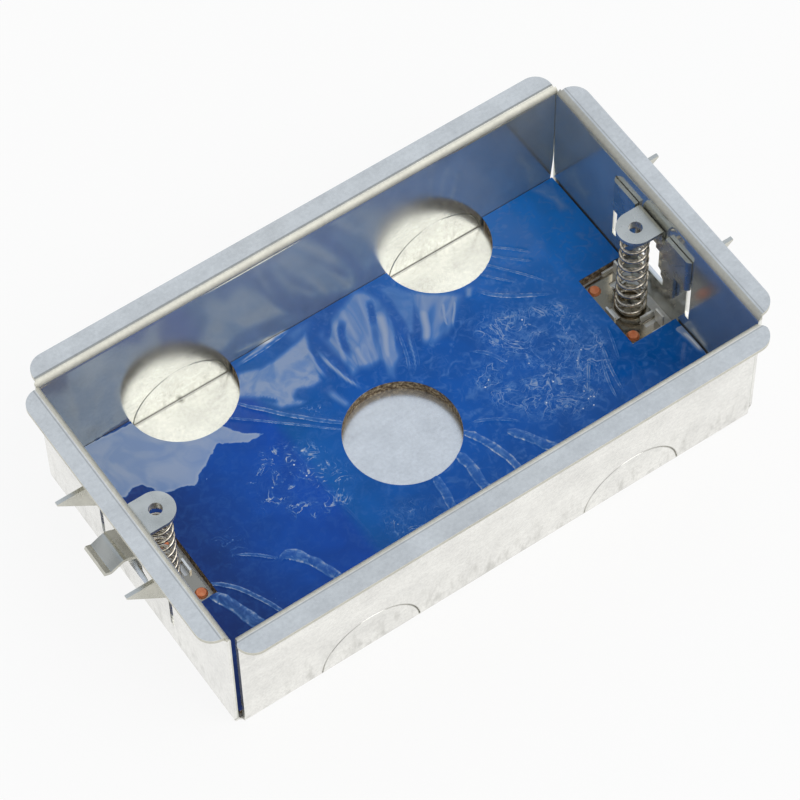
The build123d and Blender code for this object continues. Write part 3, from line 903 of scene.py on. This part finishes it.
# How the lights join, a step a line: the new one's name, and the two that it is made from
for name, operation, one, other in (
    ("stretch", "MULTIPLY", "crinkle", "clusters"),
    ("broken_creases", "MULTIPLY", "creases", "breaks"),
    ("glints", "MULTIPLY", "broken_creases", "stretch"),
    ("netted", "MULTIPLY", "web", "patches"),
    ("net", "MAXIMUM", "coarse_net", "fine_net"),
    ("net_and_blobs", "MAXIMUM", "blobs", "net"),
    ("net_milk_and_painted_sheen", "MULTIPLY", "net_and_blobs", "netted"),
    ("crumpled", "MAXIMUM", "stretch", "netted"),
    ("crumpled_spark", "MULTIPLY", "spark", "crumpled"),
    ("sparks", "MAXIMUM", "crumpled_spark", "dots"),
    ("pleated", "MULTIPLY", "pleats", "gather"),
    ("gathered", "MAXIMUM", "pleated", "streak"),
    ("folded", "MAXIMUM", "fold_light", "beside_light"),
    ("drifted_pocket", "MULTIPLY", "pocket", "drift"),
    ("smoky_veil", "MULTIPLY", "veil", "smoke"),
    ("lifted", "MAXIMUM", "drifted_pocket", "smoky_veil"),
    ("slack", "MAXIMUM", "lifted", "gathered"),
    ("slack_above_valleys", "MULTIPLY", "slack", "ground"),
    ("hazy", "MULTIPLY", "haze", "haze_share"),
    ("crinkles", "MAXIMUM", "glints", "net_milk_and_painted_sheen"),
    ("hazy_crinkles", "MAXIMUM", "crinkles", "hazy"),
    ("sparks_and_folds", "MAXIMUM", "sparks", "folded"),
    ("raised", "MAXIMUM", "sparks_and_folds", "slack_above_valleys"),
    ("milk_and_painted_sheen", "MAXIMUM", "hazy_crinkles", "raised"),
):
    light[name] = put(tree, "ShaderNodeMath", {0: light[one], 1: light[other]}, operation=operation)
# The milk and the painted sheen, highlights and glints turn the deep blue pale, up to white
tint = put(
    tree,
    "ShaderNodeValToRGB",
    {"Fac": light["milk_and_painted_sheen"]},
    stops=[
        (0.0, linear("#2a66ba")),
        (0.45, linear("#5c8fd2")),
        (0.8, linear("#b2c0d8")),
        (1.0, linear("#f6f9ff")),
    ],
)
cover = put(
    tree,
    "ShaderNodeValToRGB",
    {"Fac": light["milk_and_painted_sheen"]},
    stops=[(0.0, grey(0)), (0.5, grey(0.75)), (1.0, grey(1))],
)
pale = put(tree, "ShaderNodeMix", {"Factor": cover, "A": deep, "B": tint}, data_type="RGBA")
tree.links.new(pale.outputs["Result"], shader.inputs["Base Color"])
relief = put(tree, "ShaderNodeBump", {"Height": light["glints"], "Strength": 0.4, "Distance": 0.25 * MM})
tree.links.new(relief.outputs["Normal"], shader.inputs["Normal"])
film.data.materials.append(film_skin)
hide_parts("pad_film")
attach(film, "box")


# Base clips
# Bright cold-rolled strip under each spring, lanced up into tabs round the spring's foot. The tabs and
# lips are painted white, a painted reflection of the bright sky, and frosted; the plate is a dark mirror
# with faint smears.
tab_foot = 1.6 * MM
smear_size = 3 * MM
clip_skin, tree, shader = start_material("bright_rolled_strip")
place = put(tree, "ShaderNodeTexCoord").outputs["Object"]
smear = put(tree, "ShaderNodeTexNoise", {"Vector": place, "Scale": 1 / smear_size, "Detail": 3.0})
satin = put(tree, "ShaderNodeValToRGB", {"Fac": smear}, stops=[(0.35, grey(0.1)), (0.65, grey(0.2))])
axes = put(tree, "ShaderNodeSeparateXYZ", {"Vector": place})
tabs = put(tree, "ShaderNodeMath", {0: axes.outputs["Z"], 1: tab_foot}, operation="GREATER_THAN")
# Painted reflection: the tabs above their foot are painted near white
tone = put(
    tree,
    "ShaderNodeMix",
    {"Factor": tabs, "A": linear("#a39b8b"), "B": linear("#f7f5ee")},
    data_type="RGBA",
)
tree.links.new(tone.outputs["Result"], shader.inputs["Base Color"])
for plate, tab, socket in ((1.0, 0.7, "Metallic"), (satin, 0.3, "Roughness")):
    line_or_tab_value = put(tree, "ShaderNodeMix", {"Factor": tabs, "A": plate, "B": tab})
    tree.links.new(line_or_tab_value.outputs["Result"], shader.inputs[socket])
dress(["base_clip_left", "base_clip_right"], clip_skin)


# Clip rivets
# Copper-washed rivets, two through each clip and the base, with low heads on the clip. Their wash is
# a dull warm orange, mottled by tarnish.
tarnish_size = 0.8 * MM
rivet_skin, tree, shader = start_material("copper_rivet", Metallic=0.4, Roughness=0.42)
place = put(tree, "ShaderNodeTexCoord").outputs["Object"]
tarnish = put(tree, "ShaderNodeTexNoise", {"Vector": place, "Scale": 1 / tarnish_size, "Detail": 3.0})
tone = put(
    tree,
    "ShaderNodeValToRGB",
    {"Fac": tarnish},
    stops=[(0.3, linear("#ee8150")), (0.7, linear("#ffa876"))],
)
tree.links.new(tone.outputs["Color"], shader.inputs["Base Color"])
dress(["clip_rivets_left", "clip_rivets_right"], rivet_skin)


# Lug springs
# Open coils of bright drawn wire that stand on the clips and push the lugs up. The end turns are
# closed, and the foot is wider than the top.
wire = 0.85 * MM
coil_x = 60.3 * MM
coil_foot_diameter = 7.3 * MM
coil_top_diameter = 6.5 * MM
coil_turns = 9.5
end_turns = 0.8
turn_points = 28
wire_roundness = 4
# Bright drawn wire: a clean warm steel with fine draw marks
draw_mark = 0.6 * MM
spring_skin, tree, shader = start_material("drawn_spring_wire", Metallic=1.0)
place = put(tree, "ShaderNodeTexCoord").outputs["Object"]
drawn = put(tree, "ShaderNodeTexNoise", {"Vector": place, "Scale": 1 / draw_mark, "Detail": 2.0})
tone = put(
    tree,
    "ShaderNodeValToRGB",
    {"Fac": drawn},
    stops=[(0.35, linear("#9f9688")), (0.65, linear("#e2dacc"))],
)
tree.links.new(tone.outputs["Color"], shader.inputs["Base Color"])
satin = put(tree, "ShaderNodeValToRGB", {"Fac": drawn}, stops=[(0.3, grey(0.1)), (0.7, grey(0.2))])
tree.links.new(satin.outputs["Color"], shader.inputs["Roughness"])
for side, sign in (("left", -1), ("right", 1)):
    low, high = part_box("lug_spring_" + side)
    foot_radius = (coil_foot_diameter - wire) / 2
    top_radius = (coil_top_diameter - wire) / 2
    rise = high.z - low.z - wire
    pitch = (rise - 2 * end_turns * wire) / (coil_turns - 2 * end_turns)
    line = bpy.data.curves.new("coil_" + side, "CURVE")
    line.dimensions = "3D"
    line.bevel_depth = wire / 2
    line.bevel_resolution = wire_roundness
    line.use_fill_caps = True
    spline = line.splines.new("POLY")
    steps = round(coil_turns * turn_points)
    spline.points.add(steps)
    for i in range(steps + 1):
        turns = i / turn_points
        if turns < end_turns:
            height = wire * turns
        elif turns > coil_turns - end_turns:
            height = rise - wire * (coil_turns - turns)
        else:
            height = wire * end_turns + pitch * (turns - end_turns)
        radius = foot_radius + (top_radius - foot_radius) * height / rise
        angle = 2 * math.pi * turns
        spline.points[i].co = (
            sign * coil_x + radius * math.cos(angle),
            radius * math.sin(angle),
            low.z + wire / 2 + height,
            1,
        )
    coil = bpy.data.objects.new("coil_" + side, line)
    bpy.context.scene.collection.objects.link(coil)
    only(coil)
    bpy.ops.object.convert(target="MESH")
    coil = bpy.context.object
    bpy.ops.object.shade_smooth()
    coil.data.materials.clear()
    coil.data.materials.append(spring_skin)
    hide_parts("lug_spring_" + side)
    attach(coil, "box")
    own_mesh(coil)


# Lug brackets
# Sheet steel, bent into lug, spikes, legs and tongue, that slides on the end walls with its spikes
# and tongue through them. Its zinc plating is an even satin with soft cloudy patches.
cloud_width = 5 * MM
plated, tree, shader = start_material("zinc_plated_sheet", Metallic=0.86)
place = put(tree, "ShaderNodeTexCoord").outputs["Object"]
dull = put(tree, "ShaderNodeTexNoise", {"Vector": place, "Scale": 1 / cloud_width, "Detail": 3.0})
tone = put(
    tree,
    "ShaderNodeValToRGB",
    {"Fac": dull},
    stops=[(0.3, linear("#bdbcb2")), (0.7, linear("#d8d7ce"))],
)
tree.links.new(tone.outputs["Color"], shader.inputs["Base Color"])
satin = put(tree, "ShaderNodeValToRGB", {"Fac": dull}, stops=[(0.3, grey(0.22)), (0.7, grey(0.32))])
tree.links.new(satin.outputs["Color"], shader.inputs["Roughness"])
dress(["lug_bracket_left", "lug_bracket_right"], plated)


# Floor, light and camera
# A plain pale floor under a white tent with one large soft lamp at the front right. The tent is
# dimmer straight overhead and a little blue behind, and the camera is where the photographer was.
# The floor is a hair below the base, and clear from below, so that the underside can be seen.
floor_gap = 0.05 * MM
floor_size = 6
bpy.ops.object.select_all(action="DESELECT")
bpy.ops.mesh.primitive_plane_add(size=floor_size, location=(0, 0, -floor_gap))
floor = bpy.context.object
floor.name = "floor"
settle(floor)
floor_paint, tree, shader = start_material(
    "floor_paint", Base_Color=linear("#f4f3ef"), Roughness=0.9, Specular_IOR_Level=0.0
)
# To rays that show a background, straight, mirrored or through glass, the floor is nearly white
white_share = 0.88
ray = put(tree, "ShaderNodeLightPath")
first = put(
    tree,
    "ShaderNodeMath",
    {0: ray.outputs["Is Camera Ray"], 1: ray.outputs["Is Glossy Ray"]},
    operation="MAXIMUM",
)
seen = put(
    tree,
    "ShaderNodeMath",
    {0: first, 1: ray.outputs["Is Transmission Ray"]},
    operation="MAXIMUM",
)
glow = put(tree, "ShaderNodeEmission", {"Color": grey(1), "Strength": 1.0})
share = put(tree, "ShaderNodeMath", {0: seen, 1: white_share}, operation="MULTIPLY")
pale = put(tree, "ShaderNodeMixShader", {0: share, 1: shader, 2: glow})
below = put(tree, "ShaderNodeNewGeometry")
clear = put(tree, "ShaderNodeBsdfTransparent")
both = put(tree, "ShaderNodeMixShader", {0: below.outputs["Backfacing"], 1: pale, 2: clear})
tree.links.new(both.outputs["Shader"], tree.nodes["Material Output"].inputs["Surface"])
floor.data.materials.append(floor_paint)

roof_from = 0.45
roof_full = 0.75
left_from = 0.1
left_full = -0.9
left_light = 0.54
tent_strength = 0.95
world = bpy.data.worlds.new("tent")
bpy.context.scene.world = world
world.use_nodes = True
tree = world.node_tree
background = tree.nodes["Background"]
direction = put(tree, "ShaderNodeTexCoord").outputs["Generated"]
parts = put(tree, "ShaderNodeSeparateXYZ", {"Vector": direction})
back_share = put(
    tree,
    "ShaderNodeMapRange",
    {"Value": parts.outputs["Y"], "From Min": -1.0, "From Max": 1.0},
)
roof = put(
    tree,
    "ShaderNodeValToRGB",
    {"Fac": back_share},
    stops=[
        (0.3, linear("#ffffff")),
        (0.46, linear("#b9bec1")),
        (0.56, linear("#9aa2a8")),
        (0.7, linear("#d6e3f8")),
        (1.0, linear("#dfe8f6")),
    ],
)
overhead = put(
    tree,
    "ShaderNodeMapRange",
    {"Value": parts.outputs["Z"], "From Min": roof_from, "From Max": roof_full},
    interpolation_type="SMOOTHSTEP",
)
tent = put(tree, "ShaderNodeMix", {"Factor": overhead, "A": grey(1), "B": roof}, data_type="RGBA")
left_share = put(
    tree,
    "ShaderNodeMapRange",
    {"Value": parts.outputs["X"], "From Min": left_full, "From Max": left_from},
)
dim_left = put(
    tree,
    "ShaderNodeValToRGB",
    {"Fac": left_share},
    stops=[(0.0, grey(left_light)), (1.0, grey(1))],
)
shaded = put(
    tree,
    "ShaderNodeMix",
    {"Factor": 1.0, "A": tent, "B": dim_left},
    data_type="RGBA",
    blend_type="MULTIPLY",
)
ray = put(tree, "ShaderNodeLightPath")
view = put(
    tree,
    "ShaderNodeMix",
    {"Factor": ray.outputs["Is Camera Ray"], "A": shaded, "B": grey(1)},
    data_type="RGBA",
)
tree.links.new(view.outputs["Result"], background.inputs["Color"])
background.inputs["Strength"].default_value = tent_strength

key_direction = Vector((0.30, -0.46, 0.84)).normalized()
key_distance = 1.3
key_size = 1.0
key_power = 4.2
bpy.ops.object.light_add(type="AREA", location=key_direction * key_distance)
key = bpy.context.object
key.name = "key_lamp"
key.rotation_euler = key_direction.to_track_quat("Z", "Y").to_euler()
key.data.size = key_size
key.data.energy = key_power

photo_pixels = 800
sensor = 36
focal_pixels = 3789.9
camera_place = Vector((-232.749, -352.748, 691.664)) * MM
camera_right = Vector((0.8238984, -0.5665985, -0.0125551))
camera_down = Vector((-0.4857212, -0.6945329, -0.5307532))
camera_forward = Vector((0.2920040, 0.4433850, -0.8474335))
bpy.ops.object.camera_add()
camera = bpy.context.object
camera.data.sensor_width = sensor
camera.data.lens = focal_pixels * sensor / photo_pixels
turn = Matrix((camera_right, -camera_down, -camera_forward)).transposed()
camera.matrix_world = Matrix.Translation(camera_place) @ turn.to_4x4()
bpy.context.scene.camera = camera
bpy.context.scene.view_settings.view_transform = "Standard"
